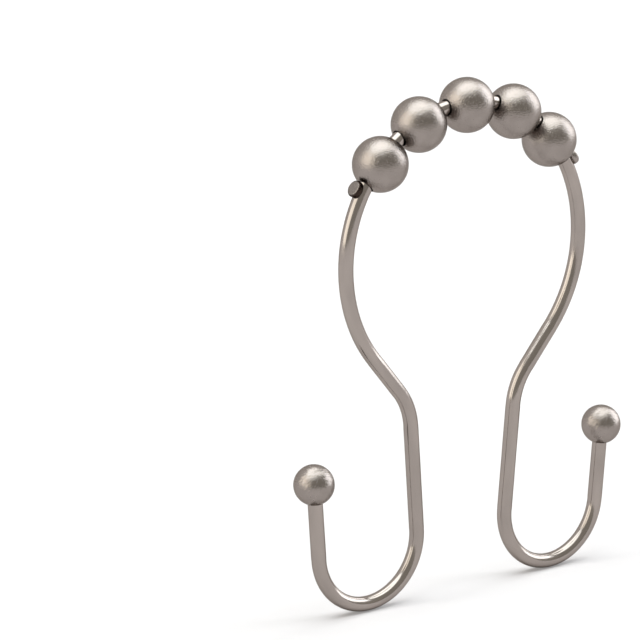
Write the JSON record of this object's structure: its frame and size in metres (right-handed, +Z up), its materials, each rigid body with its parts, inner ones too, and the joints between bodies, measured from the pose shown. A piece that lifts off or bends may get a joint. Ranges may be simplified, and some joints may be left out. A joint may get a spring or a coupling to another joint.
{
  "type": "shower curtain hook",
  "caption": "Double shower curtain hook of bent wire: ball rollers on a ring that rides the rod, a neck, and two upturned hooks with ball tips for curtain and liner.",
  "frame": {"origin": "the axis of the curtain rod that the hook hangs on, in the hook's middle plane", "axes": "+Z up, +Y along the rod, +X towards the rear hook, across the rod"},
  "size_m": [0.0706, 0.0094, 0.0903],
  "materials": {
    "wire": "satin nickel plate, drawn lengthwise",
    "roller": "satin nickel plate, finely brushed",
    "stop": "satin nickel plate",
    "tip_ball": "satin nickel plate, brushed towards the tip"
  },
  "bodies": {
    "root": {"hook_wire": "wire", "front_stop": "stop", "rear_stop": "stop", "front_tip_ball": "tip_ball", "rear_tip_ball": "tip_ball"},
    "roller_1": {"roller_1": "roller"},
    "roller_2": {"roller_2": "roller"},
    "roller_3": {"roller_3": "roller"},
    "roller_4": {"roller_4": "roller"},
    "roller_5": {"roller_5": "roller"}
  },
  "joints": [
    {"name": "roller_1_spin", "type": "hinge", "parent": "root", "child": "roller_1", "pos_m": [-0.01834, 0, 0.00943], "axis": [0.679, 0, 0.7341], "continuous": true},
    {"name": "roller_2_spin", "type": "hinge", "parent": "root", "child": "roller_2", "pos_m": [-0.01027, 0, 0.01524], "axis": [0.9117, 0, 0.4109], "continuous": true},
    {"name": "roller_3_spin", "type": "hinge", "parent": "root", "child": "roller_3", "pos_m": [0, 0, 0.01745], "axis": [1, 0, 0], "continuous": true},
    {"name": "roller_4_spin", "type": "hinge", "parent": "root", "child": "roller_4", "pos_m": [0.01027, 0, 0.01524], "axis": [0.9117, 0, -0.4109], "continuous": true},
    {"name": "roller_5_spin", "type": "hinge", "parent": "root", "child": "roller_5", "pos_m": [0.01834, 0, 0.00943], "axis": [0.679, 0, -0.7341], "continuous": true}
  ]
}
